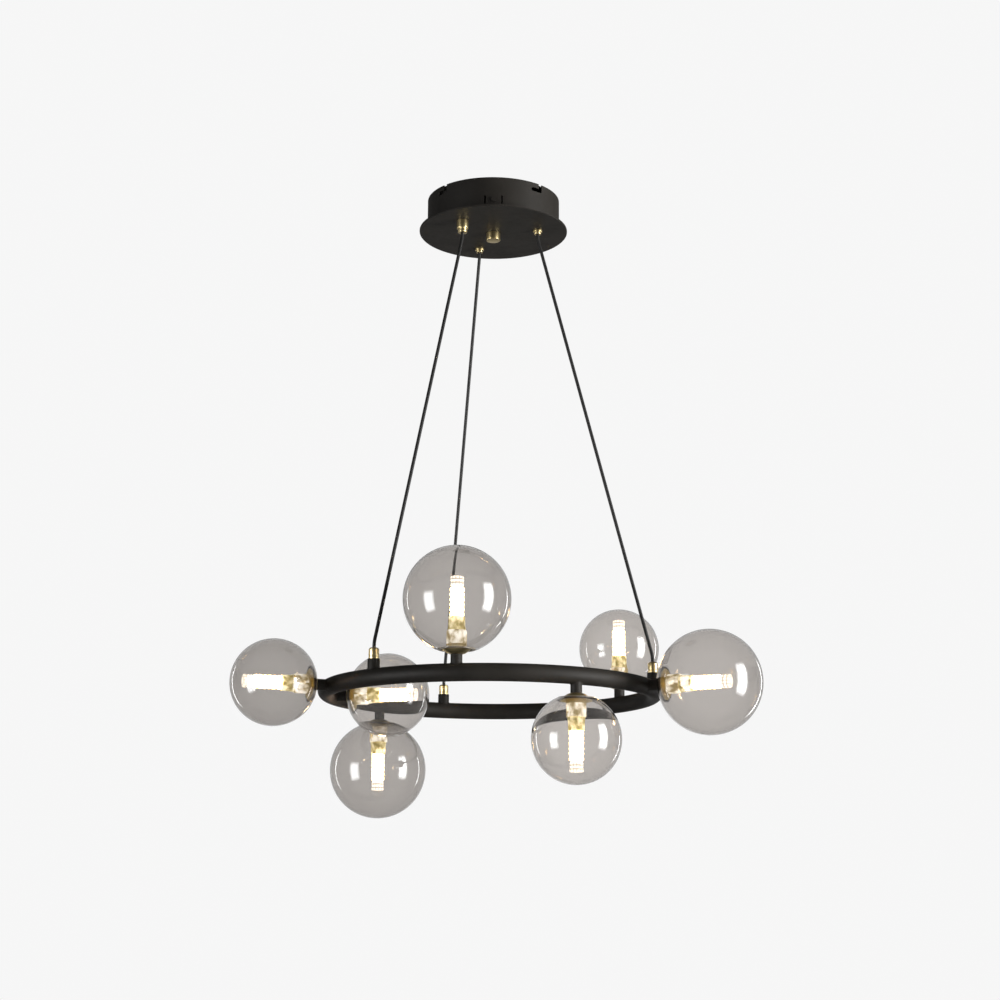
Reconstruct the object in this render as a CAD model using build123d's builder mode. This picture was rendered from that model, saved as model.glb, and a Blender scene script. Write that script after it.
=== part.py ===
# Ring chandelier: a black tube ring hung from a ceiling canopy on three cords, with seven smoked glass
# globes on short stems. Millimetres, +Z up. The origin is the centre of the canopy where it meets the
# ceiling, and the front of the light faces -Y.
import os
from math import atan2, cos, degrees, pi, radians, sin, sqrt, tan
from build123d import *

# Fits shared by all pieces
screw_fit = 0.1        # radial room of a screw, nipple or spigot in its hole
running_gap = 0.5      # radial room where one piece moves past another
edge_break = 0.6       # small chamfer on turned edges

# Canopy drum
drum_radius = 83.0
drum_height = 39.0
drum_wall = 1.2
slit_width = 2.0
slit_height = 10.5
slit_pitch = 20.8      # distance between the two slits beside a side screw
slit_drop = 29.0       # depth of the slits and the side screws below the ceiling
side_screw_angles = (270, 90)

# Bayonet of drum and ceiling bracket
notch_count = 4
lock_angle = 216.0     # where one bayonet pin stands, and the locked end of its notch
twist_angle = 8.0      # turn from the locked end to the open end of a notch
notch_drop = 8.5
pin_radius = 2.0
pin_flange_radius = 3.4
pin_flange_thickness = 1.0
pin_reach = 0.8        # how far a pin stands out of the drum

# Ceiling bracket
bracket_thickness = 1.5
bracket_wire_radius = 10.0
ear_width = 20.0
ear_height = 15.0
bolt_spacing = 70.0
bolt_hole_radius = 2.6
ear_gap = 2.0          # room between the bracket's ears and the inside of the drum

# Canopy plate
plate_radius = 93.0
plate_thickness = 2.0
tab_width = 15.0
tab_margin_height = 6.0 # of a tab, above the middle of its screw hole
tab_thickness = 1.5
side_screw_radius = 1.9
side_screw_head_radius = 3.0
side_screw_head_height = 1.6
side_screw_length = 7.0

# Finial below the middle of the plate
finial_radius = 8.8
finial_height = 10.0
finial_stud_radius = 3.0
finial_stud_length = 12.0
finial_nut_width = 10.0
finial_nut_height = 5.0

# Terminal block on the plate
terminal_length = 34.0
terminal_width = 18.0
terminal_height = 14.0
terminal_pitch_radius = 34.0
terminal_angle = 48.0
terminal_way_count = 3
terminal_way_radius = 2.2
terminal_way_depth = 5.0

# Cords and their grips
cord_radius = 2.0
cord_angles = {"left": 228, "back": 108, "right": 348}
cord_pitch_radius = 57.0
cord_recess_depth = 3.0
cord_lead_length = 6.0 # straight stretch outside a grip before the cord bends
cord_recess_gap = 0.4
cord_bend_share = 0.45 # share of the shorter run that a bend takes up
lead_grip_radius = 7.2 # canopy grip of the left cord, which brings in the mains lead
lead_grip_height = 16.0
lead_nut_radius = 5.8
lead_nut_height = 5.0
plain_grip_radius = 5.8 # canopy grips of the other two cords
plain_grip_height = 6.0
plain_nut_radius = 4.2
plain_nut_height = 3.0
canopy_spigot_radius = 5.0
canopy_spigot_length = 10.0
lock_nut_width = 14.0
lock_nut_height = 3.5
ring_grip_radius = 5.9
ring_grip_height = 12.5
ring_grip_shoulder = 1.6
ring_spigot_radius = 4.0
ring_spigot_length = 7.0
post_radius = 7.0
post_height = 10.5     # above the top of the ring tube

# Ring
ring_radius = 195.0    # to the middle of the tube
ring_tube_radius = 10.0
ring_wall = 1.2
ring_drop = 623.0      # from the ceiling to the middle of the tube
wire_hole_radius = 3.0
seam_angle = 5.0       # where the two half hoops of the ring meet, and again opposite

# Lamps: angle round the ring, direction of the stem and globe size
small_globe_radius = 50.0
large_globe_radius = 60.0
lamps = {
    "left": (201, "out", small_globe_radius),
    "front_top": (259, "up", large_globe_radius),
    "front_low": (299, "down", small_globe_radius),
    "right": (334, "out", large_globe_radius),
    "back_top": (34, "up", small_globe_radius),
    "back_low": (136, "down", large_globe_radius),
    "inner": (170, "in", small_globe_radius),
}
stem_radius = 6.5
stem_length = 9.6      # from the ring tube to the back of the cup
nipple_radius = 5.0
nipple_bore = 3.0
nipple_into_stem = 8.0
nipple_into_socket = 5.0
cup_depth = 8.4        # from the back of the cup to its rim
cup_floor = 3.6        # thickness of the cup in its middle
cup_rim_radius = 18.0
cup_rim_width = 1.0
cup_rim_height = 1.0   # the upright band round the rim
cup_bulge = 0.35       # share of the cup's depth that its round back has reached halfway out
gasket_thickness = 0.9 # of the sleeve between the cup's rim and the globe's mouth
gasket_sleeve_length = 2.1
gasket_lip_width = 2.0 # of the lip under the globe's foot
gasket_lip_height = 1.0
gasket_lip_drop = 2.5  # from the cup's rim to the globe's foot
collar_radius = 11.6
socket_radius = 11.2
socket_height = 15.0
socket_neck_radius = 9.0
socket_neck_length = 7.8
socket_slot_width = 3.0
socket_slot_height = 6.5
socket_slot_depth = 2.0
globe_wall = 1.5
bulb_shoulder_radius = 9.9
bulb_neck_radius = 9.0
bulb_base_height = 17.0
bulb_tube_radius = 8.7
bulb_tube_height = 31.0
bulb_tip_radius = 8.0
bulb_tip_height = 12.0
bulb_pin_pitch = 9.0
bulb_pin_width = 3.2
bulb_pin_thickness = 1.0
bulb_pin_length = 8.0

# Levels and radii that follow from the sizes above
plate_bottom = -drum_height - plate_thickness
drum_inner = drum_radius - drum_wall
wall_cut = 3 * drum_wall
tab_height = drum_height - slit_drop + tab_margin_height
notch_width = 2 * (pin_radius + running_gap)
ear_face = drum_inner - ear_gap
gasket_inner = cup_rim_radius + screw_fit
gasket_outer = gasket_inner + gasket_thickness
globe_hole_radius = gasket_outer + running_gap
ring_level = -ring_drop
post_top = ring_level + ring_tube_radius + post_height
ring_mouth = post_top + ring_grip_height
lead_grip = (lead_grip_radius, lead_nut_radius, lead_nut_height)
plain_grip = (plain_grip_radius, plain_nut_radius, plain_nut_height)
canopy_grips = {"left": lead_grip, "back": plain_grip, "right": plain_grip}
canopy_grip_heights = {"left": lead_grip_height, "back": plain_grip_height, "right": plain_grip_height}
cord_hole_radius = cord_radius + cord_recess_gap

# Heights along a lamp's axis, from the middle of the ring tube
cup_back = ring_tube_radius + stem_length
cup_seat = cup_back + cup_floor
cup_rim = cup_back + cup_depth
cup_band = cup_rim - cup_rim_height
globe_foot = cup_rim - gasket_lip_drop
sleeve_end = globe_foot + gasket_sleeve_length
lip_level = globe_foot - gasket_lip_height
socket_base = cup_seat + socket_neck_length
socket_end = socket_base + socket_height
tube_start = socket_end + bulb_base_height
tip_start = tube_start + bulb_tube_height
bulb_end = tip_start + bulb_tip_height

os.makedirs("parts", exist_ok=True)


def save(part, name):
    """Labels a finished piece and writes its file."""
    part.label = name
    export_step(part, f"parts/{name}.step")


def polar(radius, angle, level):
    """The point at a radius, an angle in degrees and a height."""
    return Vector(radius * cos(radians(angle)), radius * sin(radians(angle)), level)


def outward(angle):
    """The horizontal direction that points away from the middle at an angle."""
    return Vector(cos(radians(angle)), sin(radians(angle)), 0)


def wall_plane(angle, radius, level):
    """A plane facing outward at a place on a round wall, with x to the right as seen from outside."""
    along = Vector(-sin(radians(angle)), cos(radians(angle)), 0)
    return Plane(polar(radius, angle, level), x_dir=along, z_dir=outward(angle))


def side_plane(place):
    """The plane through a place's own axis, with x across it and y along it."""
    return Plane(place.origin, x_dir=place.x_dir, z_dir=place.x_dir.cross(place.z_dir))


def axis_of(place):
    """The axis along which a place points."""
    return Axis(place.origin, place.z_dir)


def lamp_place(angle, direction):
    """A plane in the middle of the ring tube whose z axis is the lamp's axis."""
    along = Vector(-sin(radians(angle)), cos(radians(angle)), 0)
    up = Vector(0, 0, 1)
    axes = {"out": outward(angle), "in": -outward(angle), "up": up, "down": -up}
    return Plane(polar(ring_radius, angle, ring_level), x_dir=along, z_dir=axes[direction])


places = {name: lamp_place(angle, direction) for name, (angle, direction, size) in lamps.items()}
posts = {name: lamp_place(angle, "up") for name, angle in cord_angles.items()}


# Canopy drum with its bayonet notches, slits and side screw holes
with BuildPart() as drum:
    with BuildSketch():
        Circle(drum_radius)
        Circle(drum_inner, mode=Mode.SUBTRACT)
    extrude(amount=-drum_height)
    half_leg = drum_radius * sin(radians(twist_angle / 2))
    for turn in range(notch_count):
        middle_angle = lock_angle + twist_angle / 2 + turn * 360 / notch_count
        with BuildSketch(wall_plane(middle_angle, drum_radius, -notch_drop)):
            SlotCenterToCenter(2 * half_leg, notch_width)
            with Locations((half_leg, notch_drop / 2)):
                Rectangle(notch_width, notch_drop)
        extrude(amount=wall_cut, both=True, mode=Mode.SUBTRACT)
    for angle in side_screw_angles:
        with BuildSketch(wall_plane(angle, drum_radius, -slit_drop)):
            with GridLocations(slit_pitch, 0, 2, 1):
                Rectangle(slit_width, slit_height)
            Circle(side_screw_radius + screw_fit)
        extrude(amount=wall_cut, both=True, mode=Mode.SUBTRACT)
save(drum.part, "canopy_drum")

# Canopy plate with two upright tabs for the side screws
tab_face = sqrt(drum_inner**2 - (tab_width / 2) ** 2) - screw_fit
with BuildPart() as plate:
    with BuildSketch(Plane.XY.offset(-drum_height)):
        Circle(plate_radius)
        Circle(finial_stud_radius + screw_fit, mode=Mode.SUBTRACT)
        with Locations(*[polar(cord_pitch_radius, angle, 0) for angle in cord_angles.values()]):
            Circle(canopy_spigot_radius + screw_fit, mode=Mode.SUBTRACT)
    extrude(amount=-plate_thickness)
    chamfer(plate.edges().group_by(Axis.Z)[0].sort_by(SortBy.RADIUS)[-1], edge_break)
    for angle in side_screw_angles:
        with BuildSketch(wall_plane(angle, tab_face, -drum_height)):
            with Locations((0, tab_height / 2)):
                Rectangle(tab_width, tab_height)
            with Locations((0, drum_height - slit_drop)):
                Circle(side_screw_radius + screw_fit, mode=Mode.SUBTRACT)
        extrude(amount=-tab_thickness)
save(plate.part, "canopy_plate")

# Side screws that hold the drum to the plate's tabs
with BuildPart() as side_screws:
    for angle in side_screw_angles:
        with BuildSketch(wall_plane(angle, drum_radius, -slit_drop)):
            Circle(side_screw_head_radius)
        extrude(amount=side_screw_head_height)
        with BuildSketch(wall_plane(angle, drum_radius, -slit_drop)):
            Circle(side_screw_radius)
        extrude(amount=-side_screw_length)
save(side_screws.part, "drum_side_screws")

# Ceiling bracket: a round plate with a wire hole, two bolt holes and two bent ears
bracket_plane = Plane((0, 0, 0), x_dir=outward(lock_angle), z_dir=(0, 0, 1))
pin_angles = (lock_angle, lock_angle + 180)
with BuildPart() as bracket:
    with BuildSketch(bracket_plane):
        Circle(ear_face)
        Circle(bracket_wire_radius, mode=Mode.SUBTRACT)
        with GridLocations(bolt_spacing, 0, 2, 1):
            Circle(bolt_hole_radius, mode=Mode.SUBTRACT)
    extrude(amount=-bracket_thickness)
    for angle in pin_angles:
        with BuildSketch(wall_plane(angle, ear_face, 0)):
            with Locations((0, -ear_height / 2)):
                Rectangle(ear_width, ear_height)
            with Locations((0, -notch_drop)):
                Circle(pin_radius + screw_fit, mode=Mode.SUBTRACT)
        extrude(amount=-bracket_thickness)
save(bracket.part, "ceiling_bracket")

# Bayonet pins, each with a flange against its ear
with BuildPart() as pins:
    for angle in pin_angles:
        with BuildSketch(wall_plane(angle, ear_face, -notch_drop)):
            Circle(pin_radius)
        extrude(amount=drum_radius - ear_face + pin_reach)
        with BuildSketch(wall_plane(angle, ear_face, -notch_drop)):
            Circle(pin_flange_radius)
        extrude(amount=pin_flange_thickness)
        with BuildSketch(wall_plane(angle, ear_face, -notch_drop)):
            Circle(pin_radius)
        extrude(amount=-bracket_thickness)
save(pins.part, "bayonet_pins")

# Finial with its stud, and the nut inside the canopy
with BuildPart() as finial:
    with BuildSketch(Plane.XY.offset(plate_bottom)):
        Circle(finial_radius)
    extrude(amount=-finial_height)
    chamfer(finial.edges().group_by(Axis.Z)[0], edge_break)
    with BuildSketch(Plane.XY.offset(plate_bottom)):
        Circle(finial_stud_radius)
    extrude(amount=finial_stud_length)
save(finial.part, "centre_finial")

with BuildPart() as finial_nut:
    with BuildSketch(Plane.XY.offset(-drum_height)):
        RegularPolygon(finial_nut_width / 2, 6, major_radius=False)
        Circle(finial_stud_radius + screw_fit, mode=Mode.SUBTRACT)
    extrude(amount=finial_nut_height)
save(finial_nut.part, "finial_nut")

# Terminal block with a row of wire entries
terminal_spot = polar(terminal_pitch_radius, terminal_angle, -drum_height)
terminal_plane = Plane(terminal_spot, x_dir=outward(terminal_angle + 90), z_dir=(0, 0, 1))
with BuildPart() as terminal:
    with BuildSketch(terminal_plane):
        Rectangle(terminal_length, terminal_width)
    extrude(amount=terminal_height)
    fillet(terminal.edges().filter_by(Axis.Z), edge_break)
    with BuildSketch(terminal_plane.offset(terminal_height)):
        with GridLocations(terminal_length / terminal_way_count, 0, terminal_way_count, 1):
            Circle(terminal_way_radius)
    extrude(amount=-terminal_way_depth, mode=Mode.SUBTRACT)
save(terminal.part, "terminal_block")


def canopy_grip(name):
    """A turned cord grip below the plate: a body, a narrower nut and a threaded spigot through the plate."""
    body_radius, nut_radius, nut_height = canopy_grips[name]
    height = canopy_grip_heights[name]
    foot = Plane(polar(cord_pitch_radius, cord_angles[name], plate_bottom))
    with BuildPart() as grip:
        with BuildSketch(foot):
            Circle(body_radius)
        extrude(amount=nut_height - height)
        chamfer(grip.edges().group_by(Axis.Z)[0], edge_break)
        with BuildSketch(foot.offset(nut_height - height)):
            Circle(nut_radius)
        extrude(amount=-nut_height)
        chamfer(grip.edges().group_by(Axis.Z)[0], edge_break)
        with BuildSketch(foot):
            Circle(canopy_spigot_radius)
        extrude(amount=canopy_spigot_length)
        with BuildSketch(foot.offset(-height)):
            Circle(cord_hole_radius)
        extrude(amount=cord_recess_depth, mode=Mode.SUBTRACT)
    return grip.part


def ring_grip(angle):
    """A turned cord grip with a sloped shoulder, and a spigot down into its post."""
    with BuildPart() as grip:
        with BuildSketch(Plane(polar(ring_radius, angle, post_top))):
            Circle(ring_grip_radius)
        extrude(amount=ring_grip_height)
        chamfer(grip.edges().group_by(Axis.Z)[-1], ring_grip_shoulder)
        with BuildSketch(Plane(polar(ring_radius, angle, post_top))):
            Circle(ring_spigot_radius)
        extrude(amount=-ring_spigot_length)
        with BuildSketch(Plane(polar(ring_radius, angle, ring_mouth))):
            Circle(cord_hole_radius)
        extrude(amount=-cord_recess_depth, mode=Mode.SUBTRACT)
    return grip.part


def cord(name):
    """A cord hung straight between its two grips, with a gentle bend outside each."""
    angle = cord_angles[name]
    canopy_mouth = plate_bottom - canopy_grip_heights[name]
    top_seat = canopy_mouth + cord_recess_depth
    low_seat = ring_mouth - cord_recess_depth
    route = [
        polar(cord_pitch_radius, angle, top_seat),
        polar(cord_pitch_radius, angle, canopy_mouth - cord_lead_length),
        polar(ring_radius, angle, ring_mouth + cord_lead_length),
        polar(ring_radius, angle, low_seat),
    ]
    turn = (route[1] - route[0]).get_angle(route[2] - route[1])
    bend = cord_bend_share * (cord_recess_depth + cord_lead_length) / tan(radians(turn / 2))
    with BuildPart() as tube:
        with BuildLine() as path:
            FilletPolyline(*route, radius=[bend, bend])
        with BuildSketch(Plane(route[0], z_dir=(0, 0, -1))):
            Circle(cord_radius)
        sweep()
    length = path.wire().length
    print(f"cord {name}: bend radii {bend:.1f}, length {length:.1f},",
          f"volume over section times length {tube.part.volume / (pi * cord_radius**2 * length):.4f}")
    return tube.part


# Grips and cords, one of each per cord
for name, angle in cord_angles.items():
    save(canopy_grip(name), f"canopy_grip_{name}")
    save(cord(name), f"suspension_cord_{name}")
    save(ring_grip(angle), f"ring_grip_{name}")

# Lock nuts on the spigots inside the canopy
with BuildPart() as lock_nuts:
    for angle in cord_angles.values():
        with BuildSketch(Plane(polar(cord_pitch_radius, angle, -drum_height))):
            RegularPolygon(lock_nut_width / 2, 6, major_radius=False)
            Circle(canopy_spigot_radius + screw_fit, mode=Mode.SUBTRACT)
        extrude(amount=lock_nut_height)
save(lock_nuts.part, "grip_lock_nuts")

# The ring's outer round, used to cut the feet of stems and posts
with BuildPart() as ring_rod:
    with BuildSketch(Plane.XZ):
        with Locations((ring_radius, ring_level)):
            Circle(ring_tube_radius)
    revolve(axis=Axis.Z)


def ring_half(start):
    """Half of the ring tube, from an angle to its opposite, with a hole under each stem and post."""
    middle = polar(ring_radius, start, ring_level)
    with BuildPart() as half:
        with BuildSketch(Plane(middle, x_dir=outward(start), z_dir=-outward(start + 90))):
            Circle(ring_tube_radius)
            Circle(ring_tube_radius - ring_wall, mode=Mode.SUBTRACT)
        revolve(axis=Axis.Z, revolution_arc=180)
        for place in [*places.values(), *posts.values()]:
            angle = degrees(atan2(place.origin.Y, place.origin.X))
            if (angle - start) % 360 < 180:
                with BuildSketch(place):
                    Circle(wire_hole_radius)
                extrude(amount=2 * ring_tube_radius, mode=Mode.SUBTRACT)
    return half.part


# Two half hoops of tube, butted end to end
save(ring_half(seam_angle), "ring_half_back")
save(ring_half(seam_angle + 180), "ring_half_front")


def saddled_stub(place, radius, end, bore):
    """A hollow stub that stands on the ring tube, its foot cut to the tube's round."""
    with BuildPart() as stub:
        with BuildSketch(place):
            Circle(radius)
            Circle(bore, mode=Mode.SUBTRACT)
        extrude(amount=end)
        add(ring_rod.part, mode=Mode.SUBTRACT)
    return stub.part


# Posts under the ring's cord grips
with BuildPart() as ring_posts:
    for place in posts.values():
        post_end = ring_tube_radius + post_height
        add(saddled_stub(place, post_radius, post_end, ring_spigot_radius + screw_fit))
save(ring_posts.part, "ring_posts")


def globe_rise(size):
    """The distance from a globe's flat foot to its middle."""
    return sqrt((size - globe_wall) ** 2 - globe_hole_radius**2)


def foot_radius(size):
    """The outer radius of a globe's flat foot."""
    return sqrt(size**2 - globe_rise(size) ** 2)


def cup(place):
    """A turned bowl that reaches into the globe's mouth, with a flat floor and a hole for the nipple."""
    bore = nipple_radius + screw_fit
    floor_radius = collar_radius + running_gap
    halfway = ((stem_radius + cup_rim_radius) / 2, cup_back + cup_bulge * (cup_band - cup_back))
    with BuildPart() as bowl:
        with BuildSketch(side_plane(place)):
            with BuildLine():
                back = Line((bore, cup_back), (stem_radius, cup_back))
                curve = ThreePointArc(back @ 1, halfway, (cup_rim_radius, cup_band))
                rim = Polyline(curve @ 1, (cup_rim_radius, cup_rim),
                               (cup_rim_radius - cup_rim_width, cup_rim),
                               (floor_radius, cup_seat), (bore, cup_seat))
                Line(rim @ 1, back @ 0)
            make_face()
        revolve(axis=axis_of(place))
    return bowl.part


def socket(place):
    """A ceramic lamp holder: a neck on the cup, a wider body, side slots and two pin slots."""
    with BuildPart() as holder:
        with BuildSketch(place.offset(cup_seat)):
            Circle(socket_neck_radius)
        extrude(amount=socket_base - cup_seat)
        with BuildSketch(place.offset(socket_base)):
            Circle(socket_radius)
        extrude(amount=socket_height)
        chamfer(holder.edges().filter_by(GeomType.CIRCLE).sort_by(axis_of(place))[-1], edge_break)
        with BuildSketch(place.offset(cup_seat)):
            Circle(nipple_radius + screw_fit)
        extrude(amount=nipple_into_socket + running_gap, mode=Mode.SUBTRACT)
        with BuildSketch(place.offset(socket_base + (socket_height - socket_slot_height) / 2)):
            with GridLocations(2 * socket_radius, 0, 2, 1):
                Rectangle(2 * socket_slot_depth, socket_slot_width)
        extrude(amount=socket_slot_height, mode=Mode.SUBTRACT)
        with BuildSketch(place.offset(socket_end)):
            with GridLocations(0, bulb_pin_pitch, 1, 2):
                Rectangle(bulb_pin_width + 2 * running_gap, bulb_pin_thickness + 2 * running_gap)
        extrude(amount=-bulb_pin_length - running_gap, mode=Mode.SUBTRACT)
    return holder.part


def bulb(place):
    """A pin-base lamp: two flat pins, a tapered base, a lit tube and a narrower domed tip."""
    dome = bulb_tip_radius / 2
    with BuildPart() as lamp:
        with BuildSketch(side_plane(place)):
            with BuildLine():
                base = Polyline((0, socket_end), (bulb_shoulder_radius, socket_end),
                                (bulb_neck_radius, tube_start), (bulb_tube_radius, tube_start),
                                (bulb_tube_radius, tip_start), (bulb_tip_radius, tip_start),
                                (bulb_tip_radius, bulb_end - dome))
                tip = RadiusArc(base @ 1, (bulb_tip_radius - dome, bulb_end), -dome)
                Polyline(tip @ 1, (0, bulb_end), (0, socket_end))
            make_face()
        revolve(axis=axis_of(place))
        with BuildSketch(place.offset(socket_end)):
            with GridLocations(0, bulb_pin_pitch, 1, 2):
                Rectangle(bulb_pin_width, bulb_pin_thickness)
        extrude(amount=-bulb_pin_length)
    return lamp.part


def globe(place, size):
    """A blown glass ball with a flat ground foot round its hole."""
    rise = globe_rise(size)
    middle = globe_foot + rise
    outer_start = -degrees(atan2(rise, foot_radius(size)))
    inner_start = -degrees(atan2(rise, globe_hole_radius))
    with BuildPart() as ball:
        with BuildSketch(side_plane(place)):
            with BuildLine():
                outer = CenterArc((0, middle), size, outer_start, 90 - outer_start)
                inner = CenterArc((0, middle), size - globe_wall, 90, inner_start - 90)
                Line(outer @ 1, inner @ 0)
                Line(inner @ 1, outer @ 0)
            make_face()
        revolve(axis=axis_of(place))
    return ball.part


# Stem, cup, socket, bulb and globe of every lamp
for name, place in places.items():
    size = lamps[name][2]
    save(saddled_stub(place, stem_radius, cup_back, nipple_radius + screw_fit), f"stem_{name}")
    save(cup(place), f"cup_{name}")
    save(socket(place), f"socket_{name}")
    save(bulb(place), f"bulb_{name}")
    save(globe(place, size), f"globe_{name}")

# Threaded nipples that join stem, cup and socket
with BuildPart() as nipples:
    for place in places.values():
        with BuildSketch(place.offset(cup_back - nipple_into_stem)):
            Circle(nipple_radius)
            Circle(nipple_bore, mode=Mode.SUBTRACT)
        extrude(amount=nipple_into_stem + cup_floor + nipple_into_socket)
save(nipples.part, "threaded_nipples")

# Silicone gaskets: a sleeve between the cup's rim and the globe's mouth, and a lip under the globe's foot
lip_inner = gasket_inner - cup_rim_width
lip_outer = gasket_outer + gasket_lip_width
with BuildPart() as gaskets:
    for place in places.values():
        with BuildSketch(side_plane(place)):
            with BuildLine():
                Polyline((gasket_inner, sleeve_end), (gasket_inner, cup_band), (lip_inner, lip_level),
                         (lip_outer, lip_level), (lip_outer, globe_foot), (gasket_outer, globe_foot),
                         (gasket_outer, sleeve_end), close=True)
            make_face()
        revolve(axis=axis_of(place))
save(gaskets.part, "globe_gaskets")

# Brass collars round the sockets' necks
with BuildPart() as collars:
    for place in places.values():
        with BuildSketch(place.offset(cup_seat)):
            Circle(collar_radius)
            Circle(socket_neck_radius + screw_fit, mode=Mode.SUBTRACT)
        extrude(amount=socket_base - cup_seat)
save(collars.part, "socket_collars")
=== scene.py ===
import bmesh
import bpy
from math import atan2, cos, pi, radians, sin, sqrt
from mathutils import Matrix, Vector


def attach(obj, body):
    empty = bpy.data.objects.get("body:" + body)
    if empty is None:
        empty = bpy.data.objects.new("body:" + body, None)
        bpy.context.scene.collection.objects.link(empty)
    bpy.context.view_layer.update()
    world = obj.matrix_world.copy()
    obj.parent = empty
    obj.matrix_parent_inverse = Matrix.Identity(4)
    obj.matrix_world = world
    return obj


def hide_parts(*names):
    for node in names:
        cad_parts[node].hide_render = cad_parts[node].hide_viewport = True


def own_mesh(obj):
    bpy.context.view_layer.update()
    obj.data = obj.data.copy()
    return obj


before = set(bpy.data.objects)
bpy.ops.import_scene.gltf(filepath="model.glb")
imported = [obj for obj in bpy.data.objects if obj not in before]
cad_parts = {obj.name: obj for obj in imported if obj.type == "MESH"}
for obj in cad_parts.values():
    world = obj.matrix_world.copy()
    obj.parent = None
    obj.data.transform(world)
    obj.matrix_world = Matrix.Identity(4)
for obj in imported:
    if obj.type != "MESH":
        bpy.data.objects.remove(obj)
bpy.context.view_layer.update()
scene = bpy.context.scene
scene.view_settings.view_transform = "Standard"
MM = 0.001
HERE = Matrix.Identity(4)

# Sizes shared with the solids, in millimetres and degrees
CORDS = {"left": (228, 16.0), "back": (108, 6.0), "right": (348, 6.0)}  # angle, height of the canopy grip
LAMPS = {  # angle, way that the lamp points, radius of its globe
    "left": (201, "out", 50.0),
    "front_top": (259, "up", 60.0),
    "front_low": (299, "down", 50.0),
    "right": (334, "out", 60.0),
    "back_top": (34, "up", 50.0),
    "back_low": (136, "down", 60.0),
    "inner": (170, "in", 50.0),
}
RING_R, TUBE_R, RING_Z = 195.0, 10.0, -623.0  # hoop, its tube, its level
SEAMS = {"back": 5, "front": 185}  # angle at which each half hoop starts
PLATE_Z, PITCH_R = -41.0, 57.0  # underside of the canopy plate, circle of its cord grips
POST_R, POST_BORE, POST_Z = 7.0, 4.1, -602.5  # post, its bore, its top
RING_MOUTH_Z = -590.0  # mouth of the cord grips on the ring
CORD_R, CORD_SEAT, CORD_LEAD = 2.0, 3.0, 6.0  # a cord, its depth in a grip, the straight start outside it

# Heights and radii on a lamp's axis, from the middle of the ring tube
STEM_R, STEM_BORE, STEM_END = 6.5, 5.1, 19.6  # the bore goes on through cup and socket
CUP_FLOOR, SOCKET_END = 23.2, 46.0
SLOT_Z, SLOT_DEPTH = 38.5, 2  # slots in the sides of a socket
CORE_LOW, CORE_HIGH, RIBS = 61.0, 94.0, 6  # lit part of a lamp
PIN_SIZE, PIN_SIDE, PIN_Z = (3.2, 1.0, 8.0), 4.5, 42.0
GLOBE_FOOT, GLOBE_HOLE, GLOBE_WALL = 25.5, 19.5, 1.5

# Profiles of turned pieces, as (radius, height)
LEAD_GRIP = [(0.0, 10.0), (5.0, 10.0), (5.0, 0.0), (7.2, 0.0), (7.2, -10.4), (6.6, -11.0), (5.8, -11.0),
             (5.8, -15.4), (5.2, -16.0), (2.4, -16.0), (2.4, -12.95), (0.0, -12.95)]
PLAIN_GRIP = [(0.0, 10.0), (5.0, 10.0), (5.0, 0.0), (5.8, 0.0), (5.8, -2.4), (5.2, -3.0), (4.2, -3.0),
              (4.2, -5.4), (3.6, -6.0), (2.4, -6.0), (2.4, -2.95), (0.0, -2.95)]
RING_GRIP = [(0.0, -7.0), (4.0, -7.0), (4.0, 0.0), (5.9, 0.0), (5.9, 2.6), (5.65, 2.9), (5.65, 3.4), (5.9, 3.7),
             (5.9, 10.9), (4.3, 12.5), (2.4, 12.5), (2.4, 9.45), (0.0, 9.45)]
FINIAL = [(0.0, 12.0), (3.0, 12.0), (3.0, 0.0), (8.8, 0.0), (8.8, -9.4), (8.2, -10.0), (0.0, -10.0)]
CUP = [(STEM_BORE, STEM_END), (STEM_R, STEM_END), (8.6, 20.2), (10.6, 21.1), (12.25, 22.19), (14.0, 23.5),
       (16.0, 25.2), (17.2, 26.2), (18.0, 27.0), (18.0, 28.0), (17.0, 28.0), (12.1, CUP_FLOOR),
       (STEM_BORE, CUP_FLOOR)]
COLLAR = [(9.1, 27.0), (9.1, CUP_FLOOR), (11.6, CUP_FLOOR), (11.6, 25.6), (11.3, 25.9), (11.3, 26.3), (11.6, 26.6),
          (11.6, 30.5), (11.1, 31.0), (9.1, 31.0)]
GASKET = [(18.1, 27.3), (18.1, 27.0), (17.1, 24.5), (21.0, 24.5), (21.0, 25.46), (19.0, 25.46), (19.0, 27.6),
          (18.1, 27.6)]
SOCKET = [(0.0, 28.5), (STEM_BORE, 28.5), (STEM_BORE, CUP_FLOOR), (9.0, CUP_FLOOR), (9.0, 31.0), (10.7, 31.0),
          (11.2, 31.5), (11.2, 35.25), (11.2, 41.75), (11.2, 45.2), (10.6, SOCKET_END), (0.0, SOCKET_END)]
LAMP_BASE = [(0.0, SOCKET_END), (9.9, SOCKET_END), (9.7, 49.5), (9.35, 50.2), (9.0, CORE_LOW), (6.1, CORE_LOW)]
LAMP_TIP = [(6.1, CORE_HIGH), (6.1, 95.4), (7.0, 95.8), (7.4, 96.2), (7.4, 100.0), (6.7, 100.4), (6.7, 101.2),
            (7.6, 101.6)]
LAMP_TIP += [(6.0 + 1.6 * cos(k * pi / 16), 104.4 + 1.6 * sin(k * pi / 16)) for k in range(9)]
LAMP_TIP += [(1.2, 106.0), (1.2, 105.2), (0.0, 105.2)]
# Section of a bead of weld, as (distance outside the stub, height above the tube)
WELD = [(-0.3, 1.2), (0.0, 1.3), (0.12, 0.75), (0.35, 0.35), (0.75, 0.12), (1.3, -0.25), (-0.3, -0.8)]

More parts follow.
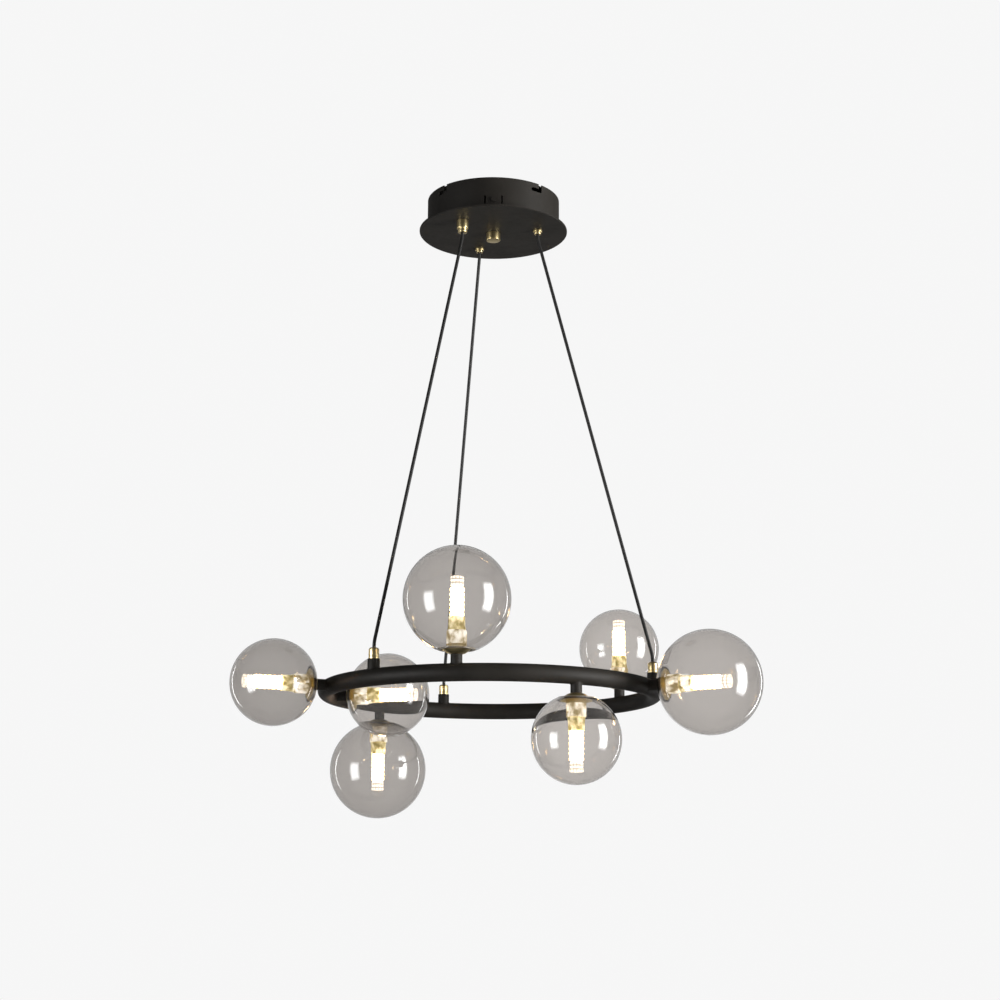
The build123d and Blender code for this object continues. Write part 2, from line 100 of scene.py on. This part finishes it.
# Camera, from the fit to the photograph
YAW, PITCH, ROLL = radians(0.271), radians(12.867), radians(0.317)
EYE, LENS = (-0.00003, -2.1892, -0.8864), 66.215

# Looks
PALE = (0.925, 0.925, 0.925)  # backdrop
# Painted light and shade: each blown globe's tint is made lighter or darker, next to the others
GLOBE_LIGHT_AND_SHADE = {"left": 0.90, "front_top": 0.965, "front_low": 1.06, "right": 1.02, "back_top": 1.055,
             "back_low": 0.945, "inner": 1.0}
SMOKE = ((0.0, (0.706, 0.684, 0.664)), (0.15, (0.696, 0.674, 0.654)), (0.37, (0.660, 0.638, 0.618)),
         (0.70, (0.650, 0.628, 0.608)), (1.0, (0.52, 0.50, 0.48)))  # from the middle of a globe to its edge
DIODES = (12, 193, 1)  # rows round a lamp, and rows for each metre along it
BASE_DARK, BASE_LIT = 0.010, 0.027  # metres along the profile of a lamp's base, over which its painted glow rises from dark to lit
PLATED_Z = (-0.0006, -0.0002)  # metres: the plating on the bracket's ceiling face starts and is full here; below it the steel is painted near black as painted shade
CLOTH_EDGES = {"X": 0.30, "Y": 0.24}  # share of a soft box's width and height over which its light fades
FLOOR_R, FLOOR_Z = 9100, -3.0  # millimetres, metres
FLOOR_NEAR, FLOOR_FAR = 2.0, 8.0  # metres over which the floor fades into the backdrop


def polar(radius, angle, z):
    a = radians(angle)
    return Vector((radius * cos(a), radius * sin(a), z))


def upright(angle, radius, z):
    """Place at an angle and radius whose z axis points up."""
    return Matrix.Translation(polar(radius, angle, z)) @ Matrix.Rotation(radians(angle), 4, "Z")


def lamp_place(angle, way):
    """Place in the middle of the ring tube whose z axis is the lamp's axis and x axis runs along the tube."""
    out = polar(1, angle, 0)
    axis = {"out": out, "in": -out, "up": Vector((0, 0, 1)), "down": Vector((0, 0, -1))}[way]
    along = Vector((-sin(radians(angle)), cos(radians(angle)), 0))
    m = Matrix((along, axis.cross(along), axis)).transposed().to_4x4()
    m.translation = polar(RING_R, angle, RING_Z)
    return m


def make_camera():
    ahead = Vector((sin(YAW) * cos(PITCH), cos(YAW) * cos(PITCH), sin(PITCH)))
    right = ahead.cross(Vector((0, 0, 1))).normalized()
    up = right.cross(ahead)
    across = right * cos(ROLL) + up * sin(ROLL)
    above = up * cos(ROLL) - right * sin(ROLL)
    data = bpy.data.cameras.new("camera")
    data.sensor_width = 36
    data.lens = LENS
    data.clip_start, data.clip_end = 0.05, 100
    cam = bpy.data.objects.new("camera", data)
    m = Matrix((across, above, -ahead)).transposed().to_4x4()
    m.translation = EYE
    cam.matrix_world = m
    scene.collection.objects.link(cam)
    scene.camera = cam


make_camera()


# Materials
class Tree:
    """The nodes of a material, a light or the world, with short ways to add and join them."""

    def __init__(self, owner, output):
        owner.use_nodes = True
        self.owner, self.nt = owner, owner.node_tree
        self.nt.nodes.clear()
        self.out = self.add("Output" + output)

    def add(self, kind, **values):
        n = self.nt.nodes.new("ShaderNode" + kind)
        for key, value in values.items():
            name = key.replace("_", " ")
            if hasattr(n, key) and name not in n.inputs:
                setattr(n, key, value)
            else:
                self.put(n.inputs[name], value)
        return n

    def put(self, socket, value):
        if isinstance(value, bpy.types.NodeSocket):
            self.nt.links.new(value, socket)
        else:
            socket.default_value = value

    def coord(self, kind="Object"):
        return self.add("TexCoord").outputs[kind]

    def part_of(self, vector, axis):
        return self.add("SeparateXYZ", Vector=vector).outputs[axis]

    def noise(self, scale, detail=3.0, rough=0.5, vector=None):
        vector = vector or self.coord()
        return self.add("TexNoise", Vector=vector, Scale=scale, Detail=detail, Roughness=rough).outputs["Fac"]

    def ramp(self, fac, *stops):
        n = self.add("ValToRGB", Fac=fac)
        band = n.color_ramp.elements
        while len(band) < len(stops):
            band.new(0.5)
        for e, (at, colour) in zip(band, stops):
            e.position = at
            e.color = (*colour, 1) if hasattr(colour, "__len__") else (colour, colour, colour, 1)
        return n.outputs["Color"]

    def span(self, fac, low, high):
        return self.add("MapRange", Value=fac, To_Min=low, To_Max=high).outputs["Result"]

    def rise(self, value, start, end):
        """From 0 to 1 between two values."""
        return self.add("MapRange", Value=value, From_Min=start, From_Max=end).outputs["Result"]

    def maths(self, operation, a, b, use_clamp=False):
        n = self.add("Math", operation=operation, use_clamp=use_clamp)
        self.put(n.inputs[0], a)
        self.put(n.inputs[1], b)
        return n.outputs[0]

    def bump(self, height, strength, distance):
        return self.add("Bump", Height=height, Strength=strength, Distance=distance).outputs["Normal"]

    def stretched(self, *scale):
        """Lathe coordinates, turn and length along the profile, scaled."""
        return self.add("Mapping", Vector=self.coord("UV"), Scale=scale).outputs["Vector"]

    def blend(self, share, a, b):
        """A mix of two shaders."""
        n = self.add("MixShader")
        for socket, value in zip(n.inputs, (share, a, b)):
            self.put(socket, value)
        return n.outputs[0]

    def principled(self, **values):
        return self.surface(self.add("BsdfPrincipled", **values).outputs[0])

    def surface(self, shader):
        self.put(self.out.inputs["Surface"], shader)
        return self.owner


def material(name):
    return Tree(bpy.data.materials.new(name), "Material")


def black_metal():
    t = material("black_powder_coat")
    return t.principled(
        Base_Color=t.ramp(t.noise(22, 4), (0.3, (0.0120, 0.0104, 0.0084)), (0.7, (0.0190, 0.0167, 0.0139))),
        Roughness=t.span(t.noise(160, 3), 0.50, 0.64), Specular_IOR_Level=0.14,
        Normal=t.bump(t.noise(1400, 2), 0.22, 0.0002))


def brass():
    """Lacquered brass with fine lines from turning."""
    t = material("turned_brass")
    lines = t.noise(1.0, 2, vector=t.stretched(1.5, 5200, 1))
    tarnish = t.noise(70, 4, 0.6)
    return t.principled(
        Metallic=1.0, Base_Color=t.ramp(tarnish, (0.25, (0.57, 0.45, 0.22)), (0.75, (0.76, 0.63, 0.35))),
        Roughness=t.span(lines, 0.26, 0.38), Normal=t.bump(lines, 0.10, 0.0001))


def painted_shade_steel():
    """Steel plated where it meets the ceiling and painted near black below, as painted shade, so that the notches
    read dark.
    """
    t = material("plated_steel_painted_shade")
    cloud = t.noise(60, 4)
    # painted shade: near black below the ceiling face, standing in for the shade inside the canopy's notches
    black = t.ramp(cloud, (0.3, (0.030, 0.028, 0.026)), (0.7, (0.055, 0.052, 0.048)))
    plated = t.ramp(cloud, (0.3, (0.50, 0.50, 0.48)), (0.7, (0.72, 0.72, 0.70)))
    face = t.rise(t.part_of(t.coord(), "Z"), *PLATED_Z)
    return t.principled(
        Metallic=1.0, Base_Color=t.add("MixRGB", Fac=face, Color1=black, Color2=plated).outputs["Color"],
        Roughness=t.span(t.noise(420, 3), 0.40, 0.56), Normal=t.bump(t.noise(900), 0.10, 0.0001))


def steel():
    t = material("zinc_plated_steel")
    spangle = t.add("TexVoronoi", Vector=t.coord(), Scale=420.0).outputs["Color"]
    return t.principled(
        Metallic=1.0, Base_Color=t.ramp(t.noise(60, 4), (0.3, (0.52, 0.52, 0.50)), (0.7, (0.66, 0.66, 0.64))),
        Roughness=t.span(spangle, 0.26, 0.42), Normal=t.bump(t.noise(900), 0.10, 0.0001))


def glass(name, light_and_shade):
    """Smoked glass of one blown globe, its tint scaled lighter or darker for that globe as painted light and shade.
    """
    t = material("smoked_glass_" + name)
    facing = t.add("LayerWeight", Blend=0.5).outputs["Facing"]
    tint = t.ramp(facing, *((at, [c * light_and_shade for c in colour]) for at, colour in SMOKE))
    return t.principled(
        Base_Color=tint, Transmission_Weight=1.0, IOR=1.5, Roughness=t.span(t.noise(240, 2), 0.0, 0.012),
        Normal=t.bump(t.noise(26, 2), 0.05, 0.0008))


def ceramic():
    """White glaze in cream, with painted light: gold-brown streaks are painted reflections of the brass cup, and an
    emission glow stands in for light from the lamp and studio.
    """
    t = material("glazed_ceramic")
    fleck = t.noise(900, 2)
    painted_streaks = t.noise(1.0, 3, vector=t.stretched(7, 70, 1))
    return t.principled(
        # painted reflection: gold-brown streaks of the brass cup on the cream and white glaze
        Base_Color=t.ramp(
            painted_streaks, (0.40, (0.36, 0.29, 0.16)), (0.50, (0.76, 0.71, 0.60)), (0.58, (0.86, 0.85, 0.81))),
        Roughness=t.span(fleck, 0.10, 0.22), Normal=t.bump(fleck, 0.06, 0.0002),
        # painted light: the glaze glows as if lit by the lamp and studio
        Emission_Color=t.ramp(painted_streaks, (0.40, (0.88, 0.66, 0.28)), (0.58, (1.0, 0.94, 0.82))),
        Emission_Strength=t.ramp(painted_streaks, (0.40, 0.38), (0.62, 1.35)))


def lamp_light(name, colour, low, high, gap):
    """Lit surface of a lamp: rows of small diodes, seen as brighter squares."""
    t = material(name)
    brick = t.add("TexBrick", Vector=t.stretched(*DIODES), Color1=(1, 1, 1, 1), Color2=(0.94, 0.94, 0.94, 1),
                  Mortar=(0, 0, 0, 1), Scale=1.0, Mortar_Size=gap, Mortar_Smooth=0.6,
                  Brick_Width=1.0, Row_Height=1.0, offset=0.0)
    return t.principled(
        Base_Color=(*colour, 1), Roughness=0.4, Emission_Color=(*colour, 1),
        Emission_Strength=t.span(brick.outputs["Color"], low, high))


def lamp_sleeve():
    """Clear amber sleeve over the diodes, faintly lit by them."""
    t = material("amber_sleeve")
    cloud = t.noise(400, 3)
    return t.principled(
        Base_Color=t.ramp(cloud, (0.3, (0.90, 0.70, 0.38)), (0.7, (0.96, 0.80, 0.50))), Alpha=0.26,
        Roughness=t.span(cloud, 0.12, 0.25), Emission_Color=(1.0, 0.70, 0.34, 1),
        Emission_Strength=t.span(cloud, 3.0, 5.5))


def lamp_base():
    """Clear amber base with painted light: an emission glow stands in for light from the lit core, strongest next
    to it and darker towards the socket, and painted streaks stand in for highlights and reflections.
    """
    t = material("lamp_base_plastic")
    painted_streaks = t.noise(1.0, 3, vector=t.stretched(8, 110, 1))
    # painted light: the glow rises along the base towards the lit core
    glow = t.ramp(t.rise(t.part_of(t.coord("UV"), "Y"), BASE_DARK, BASE_LIT),
                  (0.0, 0.35), (0.45, 0.42), (0.75, 0.65), (1.0, 1.1))
    return t.principled(
        # painted highlights and reflections: olive and pale cream streaks in colour and glow
        Base_Color=t.ramp(painted_streaks, (0.35, (0.58, 0.45, 0.16)), (0.65, (0.90, 0.80, 0.48))),
        Roughness=t.span(painted_streaks, 0.20, 0.35),
        Emission_Color=t.ramp(painted_streaks, (0.40, (1.0, 0.77, 0.22)), (0.60, (1.0, 0.89, 0.58))),
        Emission_Strength=t.maths("MULTIPLY", glow, t.ramp(painted_streaks, (0.38, 0.55), (0.62, 2.9))))


def cord_jacket():
    """Smooth black jacket, with faint marks from the die along it."""
    t = material("black_jacket")
    drawn = t.noise(1.0, 3, vector=t.stretched(9, 12, 1))
    return t.principled(
        Base_Color=t.ramp(t.noise(300, 3), (0.3, (0.0065, 0.0062, 0.0060)), (0.7, (0.0120, 0.0115, 0.0110))),
        Roughness=t.span(drawn, 0.48, 0.62), Specular_IOR_Level=0.30, Normal=t.bump(drawn, 0.15, 0.0002))


def silicone():
    t = material("clear_silicone")
    cloud = t.noise(150, 3)
    return t.principled(
        Base_Color=t.ramp(cloud, (0.3, (0.16, 0.13, 0.09)), (0.7, (0.22, 0.18, 0.13))),
        Roughness=t.span(cloud, 0.30, 0.45), Normal=t.bump(cloud, 0.05, 0.0002))


def terminal_plastic():
    t = material("terminal_nylon")
    cloud = t.noise(260, 3)
    return t.principled(
        Base_Color=t.ramp(cloud, (0.3, (0.72, 0.70, 0.64)), (0.7, (0.80, 0.78, 0.72))),
        Roughness=t.span(cloud, 0.40, 0.56), Normal=t.bump(t.noise(1100), 0.10, 0.0002))


BLACK, BRASS, STEEL, PAINTED_SHADE_STEEL, CERAMIC = black_metal(), brass(), steel(), painted_shade_steel(), ceramic()
GLASS = {name: glass(name, light_and_shade) for name, light_and_shade in GLOBE_LIGHT_AND_SHADE.items()}
LIT = lamp_light("lit_diodes", (1.0, 0.84, 0.60), 16.0, 30.0, 0.06)
TIP = lamp_light("lit_tip", (1.0, 0.90, 0.76), 0.6, 2.3, 0.20)
SLEEVE, BASE = lamp_sleeve(), lamp_base()
CORD, SILICONE, TERMINAL = cord_jacket(), silicone(), terminal_plastic()


# Mesh helpers; meshes are made in millimetres
def circle(turns):
    """Cosine and sine of equal steps round a circle."""
    return [(cos(2 * pi * k / turns), sin(2 * pi * k / turns)) for k in range(turns)]


def soften(points, radius, steps=3):
    """Rounds the corners of an open profile."""
    done = [points[0]]
    for a, b, c in zip(points, points[1:], points[2:]):
        a, b, c = Vector(a), Vector(b), Vector(c)
        r = min(radius, (a - b).length * 0.45, (c - b).length * 0.45)
        p, q = b + (a - b).normalized() * r, b + (c - b).normalized() * r
        for k in range(steps + 1):
            u = k / steps
            done.append(tuple(p * (1 - u) ** 2 + b * 2 * u * (1 - u) + q * u * u))
    return done + [points[-1]]


def stitch(bm, rows):
    """Joins each round of points to the next with faces."""
    for low, high in zip(rows, rows[1:]):
        for k in range(len(low)):
            j = (k + 1) % len(low)
            bm.faces.new((low[k], low[j], high[j], high[k]))


def lathe(bm, profile, turns, mat=0, closed=False):
    """Turns a profile round the z axis. The second texture coordinate is the length along it, in metres."""
    uv = bm.loops.layers.uv.verify()
    rings, lengths, run = [], [], 0.0
    for i, (r, z) in enumerate(profile):
        if i:
            run += sqrt((r - profile[i - 1][0]) ** 2 + (z - profile[i - 1][1]) ** 2)
        lengths.append(run * MM)
        if r < 1e-6:
            rings.append([bm.verts.new((0, 0, z))] * turns)
        else:
            rings.append([bm.verts.new((r * c, r * s, z)) for c, s in circle(turns)])
    pairs = list(range(len(profile) - 1))
    if closed:
        pairs.append(-1)
    faces = []
    for i in pairs:
        low, high = rings[i], rings[i + 1]
        for k in range(turns):
            j = (k + 1) % turns
            corners = [(low[k], k, lengths[i]), (low[j], k + 1, lengths[i]),
                       (high[j], k + 1, lengths[i + 1]), (high[k], k, lengths[i + 1])]
            kept = []
            for c in corners:
                if not any(c[0] is d[0] for d in kept):
                    kept.append(c)
            if len(kept) < 3:
                continue
            f = bm.faces.new([c[0] for c in kept])
            f.material_index = mat
            for loop, c in zip(f.loops, kept):
                loop[uv].uv = (c[1] / turns, c[2])
            faces.append(f)
    return faces


def merge(bm, part):
    """Adds a bmesh to another and frees it."""
    mesh = bpy.data.meshes.new("part")
    part.to_mesh(mesh)
    part.free()
    bm.from_mesh(mesh)
    bpy.data.meshes.remove(mesh)


def show(name, bm, place, mats, body=None, replaces=(), sharp=35):
    """Turns a bmesh into an object, which rides on a body if it is a piece."""
    bmesh.ops.remove_doubles(bm, verts=bm.verts, dist=1e-5)
    bmesh.ops.recalc_face_normals(bm, faces=bm.faces)
    for f in bm.faces:
        f.smooth = True
    mesh = bpy.data.meshes.new(name)
    bm.to_mesh(mesh)
    bm.free()
    mesh.transform(Matrix.Scale(MM, 4) @ place)
    mesh.set_sharp_from_angle(angle=radians(sharp))
    for m in mats:
        mesh.materials.append(m)
    obj = bpy.data.objects.new(name, mesh)
    scene.collection.objects.link(obj)
    if body:
        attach(obj, body)
    if replaces:
        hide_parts(*replaces)
    return obj


def turned(name, profile, places, mat, body, node, turns, round_off, closed=False):
    """A piece turned from a profile with softened corners, in each of its places."""
    bm = bmesh.new()
    for place in places:
        part = bmesh.new()
        lathe(part, soften(profile, round_off), turns, closed=closed)
        part.transform(place)
        merge(bm, part)
    show(name, bm, HERE, [mat], body, [node])


def paint(node, look):
    """Gives a CAD node that is carried over its material."""
    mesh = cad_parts[node].data
    mesh.materials.clear()
    mesh.materials.append(look)


# Cords: one spline through the route's points, and a tube along it
def smooth_path(name, route):
    """Points in metres along a smooth curve that starts and ends with the route."""
    curve = bpy.data.curves.new("route_" + name, "CURVE")
    curve.dimensions = "3D"
    curve.resolution_u = 40
    spline = curve.splines.new("NURBS")
    spline.points.add(len(route) - 1)
    for point, at in zip(spline.points, route):
        point.co = (*(at * MM), 1)
    spline.order_u = 3
    spline.use_endpoint_u = True
    guide = bpy.data.objects.new("route_" + name, curve)
    scene.collection.objects.link(guide)
    line = bpy.data.meshes.new_from_object(guide)
    path = [v.co.copy() for v in line.vertices]
    bpy.data.objects.remove(guide)
    bpy.data.meshes.remove(line)
    bpy.data.curves.remove(curve)
    return path


def cord_tube(path, side, turns=16):
    """A tube along a path that bends in the plane across its side."""
    bm = bmesh.new()
    uv = bm.loops.layers.uv.verify()
    rings, at, run = [], [], 0.0
    for i, p in enumerate(path):
        ahead = (path[min(i + 1, len(path) - 1)] - path[max(i - 1, 0)]).normalized()
        other = ahead.cross(side).normalized()
        run += (p - path[i - 1]).length if i else 0
        at.append(run)
        rings.append([bm.verts.new(p / MM + (side * c + other * s) * CORD_R) for c, s in circle(turns)])
    for i in range(len(rings) - 1):
        for k in range(turns):
            j = (k + 1) % turns
            f = bm.faces.new((rings[i][k], rings[i][j], rings[i + 1][j], rings[i + 1][k]))
            for loop, (u, v) in zip(f.loops, ((k, at[i]), (k + 1, at[i]), (k + 1, at[i + 1]), (k, at[i + 1]))):
                loop[uv].uv = (u / turns, v)
    bm.faces.new(rings[0])
    bm.faces.new(rings[-1])
    return bm


def make_cord(name, angle, grip):
    mouth = PLATE_Z - grip
    top, low = mouth + CORD_SEAT, RING_MOUTH_Z - CORD_SEAT
    a, b = polar(PITCH_R, angle, top), polar(PITCH_R, angle, mouth - CORD_LEAD)
    c, d = polar(RING_R, angle, RING_MOUTH_Z + CORD_LEAD), polar(RING_R, angle, low)
    run = (c - b).normalized()
    path = smooth_path(name, [a, b, b + run * (b - a).length, c - run * (d - c).length, c, d])
    bm = cord_tube(path, polar(1, angle + 90, 0))
    obj = show("cord_" + name, bm, HERE, [CORD], "canopy", ["suspension_cord_" + name], 60)
    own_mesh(obj)


for name, (angle, grip) in CORDS.items():
    make_cord(name, angle, grip)


# Ring: two half hoops whose ends meet in fine seams
def half_hoop(name, start):
    bm = bmesh.new()
    steps, turns, chamfer = 160, 40, 0.35
    ends = [(0.0, TUBE_R - chamfer), (chamfer / RING_R, TUBE_R)]
    stations = ends + [(pi * k / steps, TUBE_R) for k in range(1, steps)] + [(pi - a, r) for a, r in reversed(ends)]
    rings = []
    for a, r in stations:
        ring = []
        for c, s in circle(turns):
            reach = RING_R + r * c
            ring.append(bm.verts.new((reach * cos(a), reach * sin(a), r * s)))
        rings.append(ring)
    stitch(bm, rings)
    bm.faces.new(rings[0])
    bm.faces.new(rings[-1])
    show("hoop_" + name, bm, upright(start, 0, RING_Z), [BLACK], "ring", ["ring_half_" + name])


for name, start in SEAMS.items():
    half_hoop(name, start)


# Posts and cord grips on the ring, and cord grips and finial below the canopy
def stub(bm, place, radius, end, bore, turns=56):
    """A hollow stub that stands on the ring tube, with a bead of weld that follows the tube."""
    part = bmesh.new()
    foot = TUBE_R / 2
    lathe(part, soften([(radius, foot), (radius, end), (bore, end), (bore, foot)], 0.3), turns, closed=True)
    bead = []
    for out, rise in WELD:
        reach, row = radius + out, []
        for c, s in circle(turns):
            level = sqrt(TUBE_R ** 2 - (reach * s) ** 2) + rise
            row.append(part.verts.new((reach * c, reach * s, level)))
        bead.append(row)
    stitch(part, bead + bead[:1])
    part.transform(place)
    merge(bm, part)


posts = bmesh.new()
for angle, _ in CORDS.values():
    stub(posts, lamp_place(angle, "up"), POST_R, POST_Z - RING_Z, POST_BORE)
show("posts", posts, HERE, [BLACK], "ring", ["ring_posts"])
for name, (angle, _) in CORDS.items():
    turned("ring_cord_grip_" + name, RING_GRIP, [upright(angle, RING_R, POST_Z)], BRASS, "ring",
           "ring_grip_" + name, 48, 0.3)
    turned("canopy_cord_grip_" + name, LEAD_GRIP if name == "left" else PLAIN_GRIP,
           [upright(angle, PITCH_R, PLATE_Z)], BRASS, "canopy", "canopy_grip_" + name, 48, 0.3)
turned("finial", FINIAL, [upright(0, 0, PLATE_Z)], BRASS, "canopy", "centre_finial", 64, 0.3)


# Lamps: stem, cup, collar, socket, lamp and globe on each axis
def socket_body(place, name):
    """Ceramic holder with a neck, a wider body, and a slot on each side."""
    bm = bmesh.new()
    faces = lathe(bm, SOCKET, 72)
    for side in (0.0, pi):
        out = Vector((cos(side), sin(side)))
        slot = [f for f in faces if f.is_valid and abs(f.calc_center_median().z - SLOT_Z) < 1
                and (f.calc_center_median().xy.normalized() - out).length < 0.15]
        made = bmesh.ops.extrude_face_region(bm, geom=slot)
        moved = [v for v in made["geom"] if isinstance(v, bmesh.types.BMVert)]
        bmesh.ops.translate(bm, verts=moved, vec=(out * -SLOT_DEPTH).to_3d())
        bmesh.ops.delete(bm, geom=[f for f in slot if f.is_valid], context="FACES")
    show("socket_body_" + name, bm, place, [CERAMIC], "ring", ["socket_" + name])


def ribbed(valley, swell):
    """Profile of rounded ribs along a lamp."""
    pitch = (CORE_HIGH - CORE_LOW) / RIBS
    steps = (0.0, 0.12, 0.28, 0.5, 0.72, 0.88)
    ribs = [(valley + swell * sin(pi * u) ** 0.6, CORE_LOW + pitch * (k + u)) for k in range(RIBS) for u in steps]
    return ribs + [(valley, CORE_HIGH)]


def lamp_body(place, name, turns=48):
    """Lamp with flat pins, a tapered base, a core of diodes under a ribbed sleeve, and a narrower tip."""
    bm = bmesh.new()
    looks = [BASE, LIT, TIP, STEEL, SLEEVE]
    lathe(bm, soften(LAMP_BASE, 0.4), turns, looks.index(BASE))
    lathe(bm, ribbed(6.1, 1.5), turns, looks.index(LIT))
    sleeve = [(6.7, CORE_LOW + 0.05)] + ribbed(6.7, 1.7)[1:]
    inside = [(r - 0.3, z) for r, z in reversed(sleeve)]
    lathe(bm, sleeve + inside, turns, looks.index(SLEEVE), True)
    lathe(bm, LAMP_TIP, turns, looks.index(TIP))
    for side in (-1, 1):
        spot = Matrix.Translation((0, PIN_SIDE * side, PIN_Z)) @ Matrix.Diagonal((*PIN_SIZE, 1))
        pin = bmesh.ops.create_cube(bm, size=1.0, matrix=spot)
        for f in {f for v in pin["verts"] for f in v.link_faces}:
            f.material_index = looks.index(STEEL)
    show("lamp_" + name, bm, place, looks, "ring", ["bulb_" + name])


def glass_ball(place, name, size, steps=96, turns=160):
    """Blown shell with a flat ground foot round its hole."""
    inner = size - GLOBE_WALL
    rise = sqrt(inner ** 2 - GLOBE_HOLE ** 2)
    middle = GLOBE_FOOT + rise

    def arc(radius, start, end):
        angles = [start + (end - start) * k / steps for k in range(steps + 1)]
        return [(radius * max(cos(a), 0.0), middle + radius * sin(a)) for a in angles]

    outside = arc(size, -atan2(rise, sqrt(size ** 2 - rise ** 2)), pi / 2)
    inside = arc(inner, pi / 2, -atan2(rise, GLOBE_HOLE))
    bm = bmesh.new()
    lathe(bm, outside, turns)
    lathe(bm, inside + outside[:1], turns)
    show("glass_" + name, bm, place, [GLASS[name]], "shade_" + name, ["globe_" + name], 50)


axes = []
for name, (angle, way, size) in LAMPS.items():
    place = lamp_place(angle, way)
    axes.append(place)
    stem = bmesh.new()
    stub(stem, place, STEM_R, STEM_END, STEM_BORE)
    show("lamp_stem_" + name, stem, HERE, [BLACK], "ring", ["stem_" + name])
    turned("lamp_cup_" + name, CUP, [place], BRASS, "ring", "cup_" + name, 72, 0.25, True)
    socket_body(place, name)
    lamp_body(place, name)
    glass_ball(place, name, size)
turned("collars", COLLAR, axes, BRASS, "ring", "socket_collars", 56, 0.2, True)
turned("gaskets", GASKET, axes, SILICONE, "ring", "globe_gaskets", 72, 0.2, True)

# CAD nodes that are carried over
# The bracket and bayonet pins take plated steel with painted shade below its ceiling face.
for look, nodes in ((STEEL, ("finial_nut", "grip_lock_nuts", "threaded_nipples")),
                    (PAINTED_SHADE_STEEL, ("ceiling_bracket", "bayonet_pins")),
                    (BLACK, ("canopy_drum", "canopy_plate", "drum_side_screws")),
                    (TERMINAL, ("terminal_block",))):
    for node in nodes:
        paint(node, look)


# Light, background and floor
def soft_box(name, place, aim, width, height, power, for_shine=False):
    """A lamp behind a cloth that is brightest in its middle; one for shine is only there for reflections."""
    data = bpy.data.lights.new(name, "AREA")
    data.shape = "RECTANGLE"
    data.size, data.size_y, data.energy = width, height, power
    t = Tree(data, "Light")
    spot = t.add("NewGeometry").outputs["Parametric"]
    fades = []
    for side, edge in CLOTH_EDGES.items():
        near = t.maths("PINGPONG", t.part_of(spot, side), 0.5)
        fade = t.add("MapRange", interpolation_type="SMOOTHSTEP", Value=near, From_Max=edge)
        fades.append(fade.outputs["Result"])
    t.surface(t.add("Emission", Strength=t.maths("MULTIPLY", *fades)).outputs[0])
    obj = bpy.data.objects.new(name, data)
    obj.location = place
    obj.rotation_mode = "QUATERNION"
    obj.rotation_quaternion = (Vector(aim) - Vector(place)).to_track_quat("-Z", "Y")
    obj.visible_camera = False
    obj.visible_transmission = False
    obj.visible_diffuse = not for_shine
    scene.collection.objects.link(obj)


soft_box("softbox_right", (2.50, -1.06, -0.50), (0, 0, -0.50), 1.44, 2.90, 322)
soft_box("softbox_left", (-2.32, -1.44, -0.98), (0, 0, -0.85), 1.44, 2.10, 158, True)
soft_box("strip_right", (1.08, 0.79, -0.68), (0, 0, -0.66), 0.11, 1.20, 4.1)
soft_box("strip_left", (-1.17, 0.64, -0.68), (0, 0, -0.66), 0.11, 1.20, 3.4)


def make_world():
    """A pale backdrop where it is seen directly or through glass, a darker studio in reflections, and a fill."""
    scene.world = bpy.data.worlds.new("studio")
    t = Tree(scene.world, "World")
    path = t.add("LightPath").outputs
    direct = t.maths("LESS_THAN", path["Diffuse Depth"], 0.5)
    through = t.maths("MULTIPLY", path["Is Transmission Ray"], direct)
    seen = t.maths("MAXIMUM", path["Is Camera Ray"], through)
    studio = t.ramp(t.part_of(t.coord("Generated"), "Y"),
                    (0.35, (0.085, 0.082, 0.078)), (0.95, (0.22, 0.22, 0.22)), (0.98, PALE))
    mirrored = t.add("Background", Color=studio, Strength=1.0).outputs[0]
    fill = t.add("Background", Color=(1, 0.99, 0.975, 1), Strength=0.45).outputs[0]
    backdrop = t.add("Background", Color=(*PALE, 1), Strength=1.0).outputs[0]
    around = t.blend(path["Is Glossy Ray"], fill, mirrored)
    t.surface(t.blend(seen, around, backdrop))


make_world()


def make_floor():
    """A pale floor that fades into the backdrop where it is seen, and is dim in reflections."""
    bm = bmesh.new()
    bmesh.ops.create_circle(bm, cap_ends=True, segments=96, radius=FLOOR_R)
    t = material("pale_floor")
    path = t.add("LightPath").outputs
    grain = t.ramp(t.noise(40, 3), (0.3, (0.86, 0.86, 0.86)), (0.7, (0.88, 0.88, 0.88)))
    plain = t.add("BsdfPrincipled", Base_Color=grain, Roughness=0.8).outputs[0]
    backdrop = t.add("Emission", Color=(*PALE, 1), Strength=1.0).outputs[0]
    mirrored = t.add("Emission", Color=(0.13, 0.127, 0.123, 1), Strength=1.0).outputs[0]
    away = t.add("VectorMath", operation="LENGTH", Vector=t.coord()).outputs["Value"]
    far = t.add("MapRange", Value=away, From_Min=FLOOR_NEAR, From_Max=FLOOR_FAR, To_Min=0.75, To_Max=1.0)
    seen = t.maths("MAXIMUM", path["Is Camera Ray"], path["Is Transmission Ray"])
    direct = t.blend(t.maths("MULTIPLY", seen, far.outputs["Result"]), plain, backdrop)
    bounced = t.maths("SUBTRACT", path["Is Glossy Ray"], path["Is Transmission Ray"], use_clamp=True)
    floor = show("floor", bm, HERE, [t.surface(t.blend(bounced, direct, mirrored))])
    floor.location.z = FLOOR_Z


make_floor()
